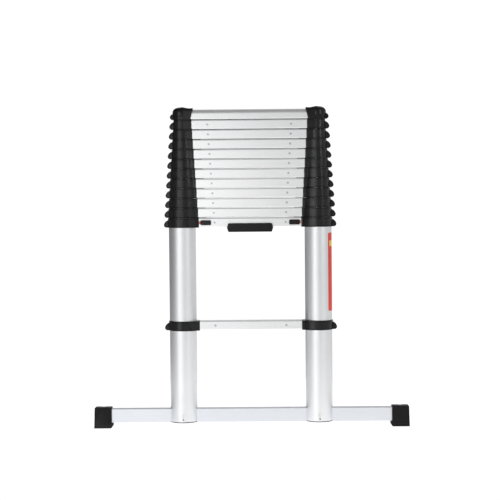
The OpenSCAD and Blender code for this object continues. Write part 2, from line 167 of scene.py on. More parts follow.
def make_world():
    """White to the camera, and soft studio walls to everything else."""
    world = bpy.data.worlds.new("studio")
    bpy.context.scene.world = world
    world.use_nodes = True
    nodes, links = world.node_tree.nodes, world.node_tree.links
    nodes.clear()
    where = nodes.new("ShaderNodeTexCoord")
    split = nodes.new("ShaderNodeSeparateXYZ")
    links.new(where.outputs["Generated"], split.inputs[0])
    back = maths(nodes, "MULTIPLY", -1)
    links.new(split.outputs["Y"], back.inputs[0])
    angle = maths(nodes, "ARCTAN2")
    links.new(split.outputs["X"], angle.inputs[0])
    links.new(back.outputs[0], angle.inputs[1])
    turn = maths(nodes, "MULTIPLY_ADD", 0.5 / math.pi, 0.5)
    links.new(angle.outputs[0], turn.inputs[0])
    round_about = nodes.new("ShaderNodeValToRGB")
    links.new(turn.outputs[0], round_about.inputs[0])
    set_stops(round_about, [((degrees + 180) / 360, (tone,)) for degrees, tone in STUDIO_WALLS])
    rise = maths(nodes, "MULTIPLY_ADD", 0.5, 0.5)
    links.new(split.outputs["Z"], rise.inputs[0])
    shade = nodes.new("ShaderNodeValToRGB")
    links.new(rise.outputs[0], shade.inputs[0])
    set_stops(shade, [((height + 1) / 2, (share,)) for height, share in STUDIO_HEIGHTS])
    both = nodes.new("ShaderNodeMix")
    both.data_type = "RGBA"
    both.blend_type = "MULTIPLY"
    both.inputs[0].default_value = 1
    links.new(round_about.outputs["Color"], both.inputs[6])
    links.new(shade.outputs["Color"], both.inputs[7])
    walls = nodes.new("ShaderNodeBackground")
    links.new(both.outputs[2], walls.inputs["Color"])
    white = nodes.new("ShaderNodeBackground")
    white.inputs["Color"].default_value = (1, 1, 1, 1)
    white.inputs["Strength"].default_value = BACKDROP_WHITE
    path = nodes.new("ShaderNodeLightPath")
    mix = nodes.new("ShaderNodeMixShader")
    links.new(path.outputs["Is Camera Ray"], mix.inputs[0])
    links.new(walls.outputs[0], mix.inputs[1])
    links.new(white.outputs[0], mix.inputs[2])
    out = nodes.new("ShaderNodeOutputWorld")
    links.new(mix.outputs[0], out.inputs["Surface"])


def soft_light(name, degrees, distance, height, width, length, tone):
    """A soft box that faces the ladder, at an angle to the right of the camera."""
    data = bpy.data.lights.new(name, "AREA")
    data.shape = "RECTANGLE"
    data.size = width
    data.size_y = length
    data.energy = tone * math.pi * width * length
    light = bpy.data.objects.new(name, data)
    bpy.context.scene.collection.objects.link(light)
    angle = math.radians(degrees)
    light.location = Vector((distance * math.sin(angle), -distance * math.cos(angle), height))
    light.rotation_mode = "QUATERNION"
    light.rotation_quaternion = (LIGHT_AIM - light.location).to_track_quat("-Z", "Y")
    light.visible_camera = False


def make_lights():
    for name, place_and_size in SOFT_LIGHTS.items():
        soft_light(name, *place_and_size)


FLOOR_RADIUS = 1.1
FLOOR_GLOW = 0.82
FLOOR_SIDES = 96
FLOOR_GAP = 0.2 * MM


def make_floor(material):
    mesh = bpy.data.meshes.new("floor")
    mesh.from_pydata(circle(FLOOR_RADIUS, 0, FLOOR_SIDES), [], [tuple(range(FLOOR_SIDES))])
    mesh.materials.append(material)
    floor = bpy.data.objects.new("floor", mesh)
    bpy.context.scene.collection.objects.link(floor)
    floor.location.z = CAD_BOX[0].z - FLOOR_GAP


# ---------------------------------------------------------------- materials

def start_material(name, color, roughness, metallic=0.0):
    """A material with a principled shader, and its object coordinates in metres."""
    material = bpy.data.materials.new(name)
    material.use_nodes = True
    nodes = material.node_tree.nodes
    shader = nodes["Principled BSDF"]
    shader.inputs["Base Color"].default_value = (*color, 1)
    shader.inputs["Roughness"].default_value = roughness
    shader.inputs["Metallic"].default_value = metallic
    where = nodes.new("ShaderNodeTexCoord")
    return material, shader, where.outputs["Object"]


NOISE_DETAIL = 3.0
NOISE_ROUGHNESS = 0.55


def noise(material, coords, scale, detail=NOISE_DETAIL, roughness=NOISE_ROUGHNESS):
    """A noise pattern with its own scale along X, Y and Z, in cycles to the metre."""
    nodes, links = material.node_tree.nodes, material.node_tree.links
    stretch = nodes.new("ShaderNodeMapping")
    stretch.inputs["Scale"].default_value = scale
    links.new(coords, stretch.inputs["Vector"])
    texture = nodes.new("ShaderNodeTexNoise")
    texture.inputs["Scale"].default_value = 1
    texture.inputs["Detail"].default_value = detail
    texture.inputs["Roughness"].default_value = roughness
    links.new(stretch.outputs[0], texture.inputs["Vector"])
    return texture.outputs["Fac"]


def ramp(material, value, stops):
    """Turns a value into a colour or tone through given stops."""
    nodes, links = material.node_tree.nodes, material.node_tree.links
    node = nodes.new("ShaderNodeValToRGB")
    links.new(value, node.inputs[0])
    set_stops(node, stops)
    return node.outputs["Color"]


def blend_colors(material, mode, factor, first, second):
    nodes, links = material.node_tree.nodes, material.node_tree.links
    node = nodes.new("ShaderNodeMix")
    node.data_type = "RGBA"
    node.blend_type = mode
    for value, socket in ((factor, node.inputs[0]), (first, node.inputs[6]), (second, node.inputs[7])):
        if isinstance(value, (int, float)):
            socket.default_value = value
        elif isinstance(value, tuple):
            socket.default_value = (*value, 1)
        else:
            links.new(value, socket)
    return node.outputs[2]


def bump(material, shader, height, strength, distance):
    nodes, links = material.node_tree.nodes, material.node_tree.links
    node = nodes.new("ShaderNodeBump")
    node.inputs["Strength"].default_value = strength
    node.inputs["Distance"].default_value = distance
    links.new(height, node.inputs["Height"])
    links.new(node.outputs[0], shader.inputs["Normal"])


CLOUD_SCALE = (9, 9, 7)
SCUFF_SCALE = (160, 160, 120)


def aluminium(name, color, roughness, lines):
    """Anodised extrusion: fine drawn lines along one axis, soft cloudy patches and a few scuffs."""
    material, shader, coords = start_material(name, color, roughness, metallic=1.0)
    links = material.node_tree.links
    drawn = noise(material, coords, lines, detail=4.0, roughness=0.65)
    clouds = noise(material, coords, CLOUD_SCALE)
    scuffs = noise(material, coords, SCUFF_SCALE, detail=5.0, roughness=0.7)
    darker = tuple(0.955 * c for c in color)
    lighter = tuple(min(1.0, 1.02 * c) for c in color)
    grain = ramp(material, drawn, ((0.35, darker), (0.65, lighter)))
    patches = ramp(material, clouds, ((0.3, (0.965,)), (0.7, (1.0,))))
    links.new(blend_colors(material, "MULTIPLY", 1.0, grain, patches), shader.inputs["Base Color"])
    low, high = roughness - 0.05, roughness + 0.06
    gloss = ramp(material, drawn, ((0.3, (low,)), (0.7, (high,))))
    rubbed = ramp(material, scuffs, ((0.62, (0.0,)), (0.74, (0.10,))))
    links.new(blend_colors(material, "ADD", 1.0, gloss, rubbed), shader.inputs["Roughness"])
    bump(material, shader, drawn, strength=0.10, distance=0.03 * MM)
    return material


FLOW_SCALE = (45, 45, 30)


def moulded(name, color, edge_color, roughness, grain_scale, grain_depth, specular):
    """Moulded plastic or rubber: spark-eroded grain, uneven gloss and paler worn edges."""
    material, shader, coords = start_material(name, color, roughness)
    nodes, links = material.node_tree.nodes, material.node_tree.links
    shader.inputs["Specular IOR Level"].default_value = specular
    grain = noise(material, coords, (grain_scale,) * 3, detail=2.0, roughness=0.5)
    flow = noise(material, coords, FLOW_SCALE)
    mottled = ramp(material, flow, ((0.3, color), (0.7, tuple(1.35 * c for c in color))))
    shape = nodes.new("ShaderNodeNewGeometry")
    worn = ramp(material, shape.outputs["Pointiness"], ((0.52, (0.0,)), (0.62, (1.0,))))
    links.new(blend_colors(material, "MIX", worn, mottled, edge_color), shader.inputs["Base Color"])
    links.new(
        ramp(material, flow, ((0.3, (roughness - 0.06,)), (0.7, (roughness + 0.08,)))),
        shader.inputs["Roughness"],
    )
    bump(material, shader, grain, strength=0.35, distance=grain_depth)
    return material


SPANGLE_SCALE = (700, 700, 700)


def steel(name, color, roughness):
    """Plated or blackened steel with a faint spangle."""
    material, shader, coords = start_material(name, color, roughness, metallic=1.0)
    links = material.node_tree.links
    spangle = noise(material, coords, SPANGLE_SCALE)
    links.new(
        ramp(material, spangle, ((0.3, tuple(0.82 * c for c in color)), (0.7, color))),
        shader.inputs["Base Color"],
    )
    links.new(
        ramp(material, spangle, ((0.3, (roughness - 0.07,)), (0.7, (roughness + 0.09,)))),
        shader.inputs["Roughness"],
    )
    bump(material, shader, spangle, strength=0.15, distance=0.02 * MM)
    return material


INK_SCALE = (120, 120, 90)


def film(name, color, roughness):
    """Printed film under a clear laminate, a little uneven in its ink."""
    material, shader, coords = start_material(name, color, roughness)
    links = material.node_tree.links
    ink = noise(material, coords, INK_SCALE, detail=4.0)
    links.new(
        ramp(material, ink, ((0.3, tuple(0.9 * c for c in color)), (0.7, color))),
        shader.inputs["Base Color"],
    )
    links.new(
        ramp(material, ink, ((0.3, (roughness - 0.06,)), (0.7, (roughness + 0.06,)))),
        shader.inputs["Roughness"],
    )
    bump(material, shader, ink, strength=0.2, distance=0.03 * MM)
    return material


FIBRE_SCALE = (300, 300, 300)


def floor_material():
    """Matt white paper that glows a little, so that it stays as white as the backdrop."""
    material, shader, coords = start_material("floor_paper", (0.93, 0.93, 0.93), roughness=0.9)
    links = material.node_tree.links
    fibres = noise(material, coords, FIBRE_SCALE)
    links.new(
        ramp(material, fibres, ((0.3, (0.925,)), (0.7, (0.935,)))),
        shader.inputs["Base Color"],
    )
    shader.inputs["Specular IOR Level"].default_value = 0.0
    shader.inputs["Emission Color"].default_value = (1, 1, 1, 1)
    shader.inputs["Emission Strength"].default_value = FLOOR_GLOW
    return material


# Scales of the drawn lines, for extrusions that stand up and that lie across
ALONG_Z = (1500, 1500, 5)
ALONG_X = (5, 1500, 1500)


def make_materials():
    return {
        "tube": aluminium("tube_aluminium", (0.87, 0.88, 0.895), 0.48, ALONG_Z),
        "rung": aluminium("rung_aluminium", (0.97, 0.975, 0.98), 0.42, ALONG_X),
        "bar": aluminium("bar_aluminium", (0.79, 0.81, 0.85), 0.48, ALONG_X),
        "collar": moulded(
            "collar_plastic", (0.004, 0.004, 0.0042), (0.020, 0.020, 0.021),
            roughness=0.27, grain_scale=1800, grain_depth=0.05 * MM, specular=0.34,
        ),
        "plug": moulded(
            "plug_plastic", (0.005, 0.005, 0.0055), (0.02, 0.02, 0.02),
            roughness=0.5, grain_scale=1500, grain_depth=0.05 * MM, specular=0.3,
        ),
        "rubber": moulded(
            "foot_rubber", (0.005, 0.005, 0.0052), (0.018, 0.018, 0.018),
            roughness=0.55, grain_scale=1100, grain_depth=0.12 * MM, specular=0.18,
        ),
        "button": moulded(
            "button_plastic", (0.004, 0.004, 0.0043), (0.03, 0.03, 0.03),
            roughness=0.30, grain_scale=1800, grain_depth=0.03 * MM, specular=0.3,
        ),
        "grip": moulded(
            "grip_plastic", (0.004, 0.004, 0.0043), (0.022, 0.022, 0.022),
            roughness=0.32, grain_scale=1600, grain_depth=0.05 * MM, specular=0.28,
        ),
        "zinc": steel("zinc_steel", (0.62, 0.63, 0.64), 0.36),
        "bright_zinc": steel("bright_zinc_steel", (0.90, 0.905, 0.91), 0.42),
        "black_oxide": steel("black_oxide_steel", (0.045, 0.045, 0.047), 0.34),
        "spring": steel("spring_steel", (0.42, 0.42, 0.43), 0.32),
        "indicator": film("indicator_red", (1.0, 0.13, 0.08), 0.35),
        "label_red": film("label_red", (0.82, 0.055, 0.035), 0.45),
        "label_yellow": film("label_yellow", (0.90, 0.66, 0.08), 0.45),
        "floor": floor_material(),
    }


# ---------------------------------------------------------------- mesh helpers

ROUND_SIDES = 96
EDGE_STEPS = 4
RECT_STEPS = 6
PLATE_STEPS = 3
SHARP_ANGLE = 38
SAME_PLACE = 0.005 * MM


def arc(centre, radius, start, end, steps):
    """Points on an arc, in degrees."""
    points = []
    for i in range(steps + 1):
        a = math.radians(start + (end - start) * i / steps)
        points.append((centre[0] + radius * math.cos(a), centre[1] + radius * math.sin(a)))
    return points


def circle(radius, z, steps):
    return [
        (radius * math.cos(2 * math.pi * i / steps), radius * math.sin(2 * math.pi * i / steps), z)
        for i in range(steps)
    ]


def between(first, last, count):
    """Evenly spaced points strictly between two points."""
    steps = [i / (count + 1) for i in range(1, count + 1)]
    return [tuple(a + (b - a) * t for a, b in zip(first, last)) for t in steps]


def rounded_edge(depth, steps=EDGE_STEPS):
    """Inset and rise along a quarter-round edge, from its flat side to its full width."""
    return [
        (depth * (1 - math.sin(math.pi / 2 * i / steps)), depth * (1 - math.cos(math.pi / 2 * i / steps)))
        for i in range(steps + 1)
    ]


SHARPEST = 0.35


def inset_outline(points, inset):
    """Moves each side of a closed outline inwards. The outline runs anticlockwise.

    SHARPEST limits how far a very sharp corner may move.
    """
    moved = []
    count = len(points)
    for i, (x, y) in enumerate(points):
        before = Vector(points[i - 1])
        here = Vector((x, y))
        after = Vector(points[(i + 1) % count])
        first = (here - before).normalized()
        second = (after - here).normalized()
        first_in = Vector((-first.y, first.x))
        second_in = Vector((-second.y, second.x))
        push = first_in + second_in
        push = push / max(push.length_squared / 2, SHARPEST)
        moved.append((x + inset * push.x, y + inset * push.y))
    return moved


def rounded_rect(width, height, radius):
    x, y = width / 2 - radius, height / 2 - radius
    outline = []
    for middle, start in (((x, y), 0), ((-x, y), 90), ((-x, -y), 180), ((x, -y), 270)):
        outline += arc(middle, radius, start, start + 90, RECT_STEPS)
    return outline


def loft(loops, around=True, closed=False):
    """Faces between loops of equal length.

    around joins each loop's ends, and closed joins the last loop to the first. Open ends get a face.
    """
    count = len(loops[0])
    verts = [p for loop in loops for p in loop]
    faces = []
    rows = len(loops) if closed else len(loops) - 1
    for i in range(rows):
        a, b = i * count, ((i + 1) % len(loops)) * count
        for j in range(count if around else count - 1):
            n = (j + 1) % count
            faces.append((a + j, a + n, b + n, b + j))
    if around and not closed:
        faces.append(tuple(reversed(range(count))))
        faces.append(tuple(range(len(verts) - count, len(verts))))
    if closed and not around:
        faces.append(tuple(i * count for i in range(len(loops))))
        faces.append(tuple(i * count + count - 1 for i in reversed(range(len(loops)))))
    return verts, faces


def plate(outline, levels):
    """A plate from an outline and a list of (inset, height) levels. Its points are (u, v, height)."""
    return loft([[(u, v, height) for u, v in inset_outline(outline, inset)] for inset, height in levels])


def bevelled_levels(low, high, low_edge, high_edge, steps=PLATE_STEPS):
    """Levels of a plate with both its edges rounded."""
    bottom = [(inset, low + rise) for inset, rise in rounded_edge(low_edge, steps)]
    top = [(inset, high - rise) for inset, rise in reversed(rounded_edge(high_edge, steps))]
    return bottom + top


def lathe(profile):
    """Turns a closed list of (radius, z) about the Z axis."""
    return loft([circle(radius, z, ROUND_SIDES) for radius, z in profile], closed=True)


def moved(shape, x=0.0, y=0.0, z=0.0):
    verts, faces = shape
    return [(vx + x, vy + y, vz + z) for vx, vy, vz in verts], faces


def joined(*shapes):
    verts, faces = [], []
    for more_verts, more_faces in shapes:
        start = len(verts)
        verts += more_verts
        faces += [tuple(start + i for i in face) for face in more_faces]
    return verts, faces


def at_side(shape, side):
    """Places a shape drawn for the left stile on either side."""
    verts, faces = shape
    return [(side * (TUBE_AXIS - x), y, z) for x, y, z in verts], faces


def make_mesh(name, shape, sharp=SHARP_ANGLE):
    """A mesh with its faces turned outwards, smooth but for its sharp edges."""
    verts, faces = shape
    mesh = bpy.data.meshes.new(name)
    mesh.from_pydata(verts, [], faces)
    work = bmesh.new()
    work.from_mesh(mesh)
    bmesh.ops.remove_doubles(work, verts=work.verts, dist=SAME_PLACE)
    bmesh.ops.recalc_face_normals(work, faces=work.faces)
    for face in work.faces:
        face.smooth = True
    for edge in work.edges:
        edge.smooth = not (edge.is_manifold and edge.calc_face_angle() > math.radians(sharp))
    work.to_mesh(mesh)
    work.free()
    return mesh


def even_shading(piece):
    """Lets the wide faces of a piece shade flat between its rounded edges."""
    shade = piece.modifiers.new("shade", "WEIGHTED_NORMAL")
    shade.keep_sharp = True


def add_piece(name, mesh, materials, body_name, replaced=()):
    """Adds a visual piece that rides a body and takes the place of the replaced CAD nodes."""
    piece = bpy.data.objects.new(name, mesh)
    bpy.context.scene.collection.objects.link(piece)
    for material in materials:
        mesh.materials.append(material)
    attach(piece, body_name)
    if replaced:
        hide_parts(*replaced)
    even_shading(piece)


# ---------------------------------------------------------------- collars

RING_WALL = 2.5 * MM
BLOCK_HALF = 22 * MM
BLOCK_CORNER = 3.2 * MM
FILLET = 2 * MM
FLATTER = 1.5
BORE_CLEAR = 0.1 * MM
LIP_CLEAR = 0.3 * MM
LIP_THICK = 3 * MM
COLLAR_EDGE = 1.1 * MM
BORE_CHAMFER = 0.5 * MM
GROOVE_DROP = 3.4 * MM
GROOVE_DEPTH = 0.45 * MM
GROOVE_HALF = 0.55 * MM
FOOT_GROOVE_RISE = 2.6 * MM
SPLIT_HALF = 0.8 * MM
# Steps along each stretch of a collar's plan, from its split to the middle of its inner face
ROUND_STEPS = 20
FLATTER_STEPS = 16
FILLET_STEPS = 4
SIDE_POINTS = 9
CORNER_STEPS = 7
FACE_POINTS = 13


def collar_plan(radius, face, inset):
    """Plan of a collar: round on the outer side, flatter towards the rung, and a block at the rung.

    A small fillet joins the flatter stretch to the block. The plan starts and ends at the split.
    """
    ring = radius + RING_WALL
    flat = FLATTER * ring
    centre = ring - flat
    rise = BLOCK_HALF + FILLET - centre
    hollow = Vector((math.sqrt((flat + FILLET) ** 2 - rise ** 2), BLOCK_HALF + FILLET))
    touch = math.degrees(math.atan2(rise, hollow.x))
    split = math.degrees(math.asin(SPLIT_HALF / ring))
    corner = (face - BLOCK_CORNER, BLOCK_HALF - BLOCK_CORNER)
    upper = arc((0, 0), ring - inset, 180 - split, 90, ROUND_STEPS)
    upper += arc((0, centre), flat - inset, 90, touch, FLATTER_STEPS)[1:]
    upper += arc(hollow, FILLET + inset, touch + 180, 270, FILLET_STEPS)[1:]
    turn = arc(corner, BLOCK_CORNER - inset, 90, 0, CORNER_STEPS)
    upper += between(upper[-1], turn[0], SIDE_POINTS) + turn
    lower = [(x, -y) for x, y in reversed(upper)]
    return upper + between(upper[-1], lower[0], FACE_POINTS) + lower


def collar_ring(k):
    """Split ring and block of a collar, with two fine grooves round it and a lip over the next tube."""
    radius, face = tube_radius(k), rung_end(k)
    top = COLLAR_HEIGHT
    edge = rounded_edge(COLLAR_EDGE)
    side = list(edge)
    for level in (FOOT_GROOVE_RISE, top - GROOVE_DROP):
        side += [
            (0, level - GROOVE_HALF), (GROOVE_DEPTH, level - GROOVE_HALF / 2),
            (GROOVE_DEPTH, level + GROOVE_HALF / 2), (0, level + GROOVE_HALF),
        ]
    side += [(inset, top - rise) for inset, rise in reversed(edge)]
    bore = radius + BORE_CLEAR
    if k == 1:
        inner = [(bore + BORE_CHAMFER, top), (bore, top - BORE_CHAMFER)]
    else:
        lip = tube_radius(k + 1) + LIP_CLEAR
        inner = [
            (lip + BORE_CHAMFER, top), (lip, top - BORE_CHAMFER),
            (lip, top - LIP_THICK), (bore, top - LIP_THICK),
        ]
    inner += [(bore, BORE_CHAMFER), (bore + BORE_CHAMFER, 0)]
    loops = [[(x, y, z) for x, y in collar_plan(radius, face, inset)] for inset, z in side]
    directions = [Vector(p).normalized() for p in collar_plan(radius, face, 0)]
    for r, z in inner:
        loops.append([(r * d.x, r * d.y, z) for d in directions])
    return loft(loops, around=False, closed=True)


LOBE_RADIUS = 7.5 * MM
LOBE_RISE = 8 * MM
EAR_DEPTH = 18 * MM
EAR_EDGE = 1.2 * MM
RECESS_RADIUS = 4.9 * MM
RECESS_DEPTH = 3.6 * MM
RECESS_RIM = 0.5 * MM
SPLIT_EDGE = 0.3 * MM
EAR_TOP_DROP = 5.5 * MM
CAP_EAR_DROP = 9 * MM
EAR_BULGE = 3.6 * MM
EAR_ROOT = 0.6 * MM
EAR_INSIDE = 0.8 * MM
LOBE_START = 158
LOBE_STEPS = 14
EAR_BACK_STEPS = 8
EAR_INSIDE_STEPS = 12
EAR_EDGE_STEPS = 4


def ear_lobe(radius):
    """Middle of a clamp ear's lobe, in x and z, where its pinch screw is."""
    return Vector((-radius - EAR_REACH + LOBE_RADIUS, LOBE_RISE))


def ear_outline(radius, drop):
    """Leaf shape of a clamp ear, anticlockwise in x and z: a bulging back that runs into a round lobe."""
    lobe = ear_lobe(radius)
    root = Vector((-radius - RING_WALL + EAR_ROOT, COLLAR_HEIGHT - drop))
    lobe_arc = arc(lobe, LOBE_RADIUS, LOBE_START, 270, LOBE_STEPS)
    landing = Vector(lobe_arc[0])
    along = landing - root
    out = Vector((along.y, -along.x)).normalized()
    control = (root + landing) / 2 + out * EAR_BULGE * (1 if out.x < 0 else -1)
    back = []
    for i in range(EAR_BACK_STEPS):
        t = i / EAR_BACK_STEPS
        point = (1 - t) ** 2 * root + 2 * t * (1 - t) * control + t * t * landing
        back.append((point.x, point.y))
    inside = -radius - EAR_INSIDE
    low, high = lobe.y - LOBE_RADIUS, COLLAR_HEIGHT - drop
    steps = EAR_INSIDE_STEPS
    return back + lobe_arc + [(inside, low + (high - low) * i / steps) for i in range(steps + 1)]


def ear_plate(k):
    """The back one of two plates either side of the split, with a recess for the pinch screw."""
    radius = tube_radius(k)
    outline = ear_outline(radius, CAP_EAR_DROP if k == TOP else EAR_TOP_DROP)
    lobe = ear_lobe(radius)
    outer = EAR_DEPTH / 2
    levels = bevelled_levels(SPLIT_HALF, outer, SPLIT_EDGE, EAR_EDGE, EAR_EDGE_STEPS)
    loops = [[(u, y, v) for u, v in inset_outline(outline, inset)] for inset, y in levels]
    directions = [(Vector(p) - lobe).normalized() for p in outline]
    recess = (
        (RECESS_RADIUS + RECESS_RIM, outer), (RECESS_RADIUS, outer - RECESS_RIM),
        (RECESS_RADIUS, outer - RECESS_DEPTH),
    )
    for r, y in recess:
        loops.append([(lobe.x + r * d.x, y, lobe.y + r * d.y) for d in directions])
    return loft(loops)


def ear_pair(k):
    back = ear_plate(k)
    front = ([(x, -y, z) for x, y, z in back[0]], back[1])
    return joined(back, front)


TAB_LENGTH = 22 * MM
TAB_HALF = 8 * MM
TAB_THICK = 0.8 * MM
TAB_ROOT = 1 * MM
TAB_CORNER = 4 * MM
TAB_EDGE = 0.2 * MM
TAB_EDGE_STEPS = 2
TAB_STEPS = 5


def trigger_tab(k):
    """Thin tab under the end of rung k, rounded at its free end."""
    root, corner_x = rung_end(k) - TAB_ROOT, rung_end(k) + TAB_LENGTH - TAB_CORNER
    outline = (
        [(root, -TAB_HALF)] + arc((corner_x, TAB_CORNER - TAB_HALF), TAB_CORNER, -90, 0, TAB_STEPS)
        + arc((corner_x, TAB_HALF - TAB_CORNER), TAB_CORNER, 0, 90, TAB_STEPS) + [(root, TAB_HALF)]
    )
    return plate(outline, bevelled_levels(0, TAB_THICK, TAB_EDGE, TAB_EDGE, TAB_EDGE_STEPS))


def make_collars(materials):
    for k in range(1, TOP):
        shape = joined(collar_ring(k), ear_pair(k))
        if k > 2:
            shape = joined(shape, trigger_tab(k))
        shape = moved(shape, z=collar_bottom(k))
        node = f"collars_{k}" if k in BASE_SECTIONS else f"collars_and_bushes_{k}"
        for side, side_name in SIDE_NAMES.items():
            name = f"collar_{side_name}_{k}"
            mesh = make_mesh(name, at_side(shape, side))
            add_piece(name, mesh, [materials["collar"]], body(k), [node])


BUSH_FLANGE = 3 * MM
BUSH_SHOW = 12 * MM
BUSH_HOLE = 6 * MM
BUSH_WALL = 1.5 * MM
BUSH_EDGE = 0.6 * MM


def make_bushes(materials):
    """Guide bushes in the feet of the sliding tubes."""
    hole, edge = BUSH_HOLE, BUSH_EDGE
    for k in range(3, TOP + 1):
        radius = tube_radius(k)
        inside, flange = radius - BUSH_WALL, radius + BORE_CLEAR
        profile = [
            (hole, BUSH_SHOW - edge), (hole + edge, BUSH_SHOW), (inside - edge, BUSH_SHOW),
            (inside, BUSH_SHOW - edge), (inside, 0), (flange, 0), (flange, edge - BUSH_FLANGE),
            (radius - edge, -BUSH_FLANGE), (hole + edge, -BUSH_FLANGE), (hole, edge - BUSH_FLANGE),
        ]
        shape = moved(lathe(profile), z=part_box(tube_node(k))[0].z)
        name = f"bushes_{k}"
        both = joined(at_side(shape, LEFT), at_side(shape, RIGHT))
        node = "top_caps_and_bushes" if k == TOP else f"collars_and_bushes_{k}"
        add_piece(name, make_mesh(name, both), [materials["collar"]], body(k), [node])


# ---------------------------------------------------------------- top caps

CAP_RADIUS = 24.5 * MM
CAP_FOOT_RADIUS = 22.3 * MM
CAP_WAIST = 11 * MM
CAP_DOME = 16 * MM
DOME_POWER = 0.84
CAP_FACE_FOOT = rung_end(TOP)
CAP_FACE_HEAD = 33.5 * MM
CAP_FACE_BULGE = 1.2 * MM
CAP_DROP = 3.6 * MM
CAP_BLOCK_HALF = 23.5 * MM
CAP_BLOCK_ROUND = 12 * MM
CAP_FOOT_EDGE = 1.5 * MM
CAP_FOOT_CHAMFER = 1 * MM
CAP_WAIST_HALF = 1.5 * MM
CAP_WAIST_INSET = 0.9 * MM
CAP_DOME_STEPS = 14
CAP_BLOCK_STATIONS = 12
CAP_BLOCK_STEPS = 10
CAP_BLOCK_TAPER = 0.45
CAP_BLOCK_SPREAD = 0.6 * MM
CAP_HORN = 0.9 * MM
CAP_HORN_START = 0.75
CAP_VOXEL = 0.75 * MM
CAP_SMOOTHING = 0.5
CAP_SMOOTHING_ROUNDS = 5
CAP_SHARP_ANGLE = 50
AXIS_GAP = 0.02 * MM


def cap_dome(height):
    """Dome over the tube: a foot that widens up to the waist, and a full round head."""
    profile = [
        (AXIS_GAP, 0), (CAP_FOOT_RADIUS - CAP_FOOT_CHAMFER, 0), (CAP_FOOT_RADIUS, CAP_FOOT_CHAMFER),
        (CAP_RADIUS - CAP_WAIST_INSET, CAP_WAIST - CAP_WAIST_HALF), (CAP_RADIUS, CAP_WAIST + CAP_WAIST_HALF),
    ]
    for i in range(CAP_DOME_STEPS + 1):
        a = math.pi / 2 * i / CAP_DOME_STEPS
        across, up = max(math.cos(a), 0) ** DOME_POWER, math.sin(a) ** DOME_POWER
        profile.append((max(CAP_RADIUS * across, AXIS_GAP), height - CAP_DOME * (1 - up)))
    return loft([circle(radius, z, ROUND_SIDES) for radius, z in profile])


def cap_block(height):
    """Block from the tube's axis to the slanted inner face; its top dips and rises again to a low horn."""
    loops = []
    y, foot = CAP_BLOCK_HALF, CAP_FOOT_EDGE
    for i in range(CAP_BLOCK_STATIONS + 1):
        t = i / CAP_BLOCK_STATIONS
        sag = CAP_DROP * (1 - math.cos(math.pi * min(t / CAP_HORN_START, 1))) / 2
        horn = CAP_HORN * max(0, (t - CAP_HORN_START) / (1 - CAP_HORN_START)) ** 2
        top = height - sag + horn
        radius = CAP_BLOCK_ROUND * (1 - CAP_BLOCK_TAPER * t)
        spread = CAP_BLOCK_SPREAD * t
        section = (
            arc((y - radius, top - radius), radius, 0, 90, CAP_BLOCK_STEPS)
            + arc((radius - y, top - radius), radius, 90, 180, CAP_BLOCK_STEPS)
            + [(spread - y, foot), (foot - y, 0), (y - foot, 0), (y - spread, foot)]
        )
        reach = [
            CAP_FACE_FOOT + (CAP_FACE_HEAD - CAP_FACE_FOOT) * v / height
            + CAP_FACE_BULGE * 4 * (v / height) * (1 - v / height)
            for u, v in section
        ]
        loops.append([(t * x, u, v) for (u, v), x in zip(section, reach)])
    return loft(loops)


def blended(shape):
    """Melts overlapping solids into one skin by a voxel remesh, and softens the creases between them."""
    piece = bpy.data.objects.new("blend", make_mesh("blend", shape))
    bpy.context.scene.collection.objects.link(piece)
    remesh = piece.modifiers.new("remesh", "REMESH")
    remesh.mode = "VOXEL"
    remesh.voxel_size = CAP_VOXEL
    smooth = piece.modifiers.new("smooth", "SMOOTH")
    smooth.factor = CAP_SMOOTHING
    smooth.iterations = CAP_SMOOTHING_ROUNDS
    bpy.context.view_layer.update()
    graph = bpy.context.evaluated_depsgraph_get()
    skin = bpy.data.meshes.new_from_object(piece.evaluated_get(graph))
    verts, faces = [tuple(v.co) for v in skin.vertices], [tuple(p.vertices) for p in skin.polygons]
    rough = piece.data
    bpy.data.objects.remove(piece)
    for mesh in (rough, skin):
        bpy.data.meshes.remove(mesh)
    return verts, faces


def make_caps(materials):
    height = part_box("top_caps_and_bushes")[1].z - collar_bottom(TOP)
    cap = blended(joined(cap_dome(height), cap_block(height)))
    shape = moved(joined(cap, ear_pair(TOP)), z=collar_bottom(TOP))
    for side, side_name in SIDE_NAMES.items():
        name = f"top_cap_{side_name}"
        mesh = make_mesh(name, at_side(shape, side), CAP_SHARP_ANGLE)
        add_piece(name, mesh, [materials["collar"]], body(TOP), ["top_caps_and_bushes"])


# ---------------------------------------------------------------- feet, buttons, grip, label

FOOT_EDGE = 1.6 * MM
SOLE_GROOVES = 5
GROOVE_WIDTH = 2 * MM
GROOVE_HEIGHT = 1.6 * MM
GROOVE_SLOPE = 0.9
SOLE_MARGIN = 2 * MM
SOLE_CHAMFER = 1 * MM
FOOT_STEP = 5 * MM
FOOT_LIP = 3.4 * MM
LIP_FOOT = 6 * MM
LIP_SLOPE = 0.6 * MM
LIP_DROP = 0.2 * MM
LIP_CORNER = 1 * MM
FOOT_CORNER = 2.2 * MM
FOOT_CORNER_MIDDLE = (0.6 * MM, 0.7 * MM)
FOOT_CORNER_START = 0.1 * MM
FOOT_INNER_CORNER = 1.2 * MM
BAR_CLEAR = 0.8 * MM
FOOT_LEAN = 1.8 * MM
FOOT_PROUD = 1.1 * MM
FOOT_DIP = 0.7 * MM
DIP_SHIFT = 1 * MM
DIP_OUTWARD = 9 * MM
DIP_INWARD = 6 * MM


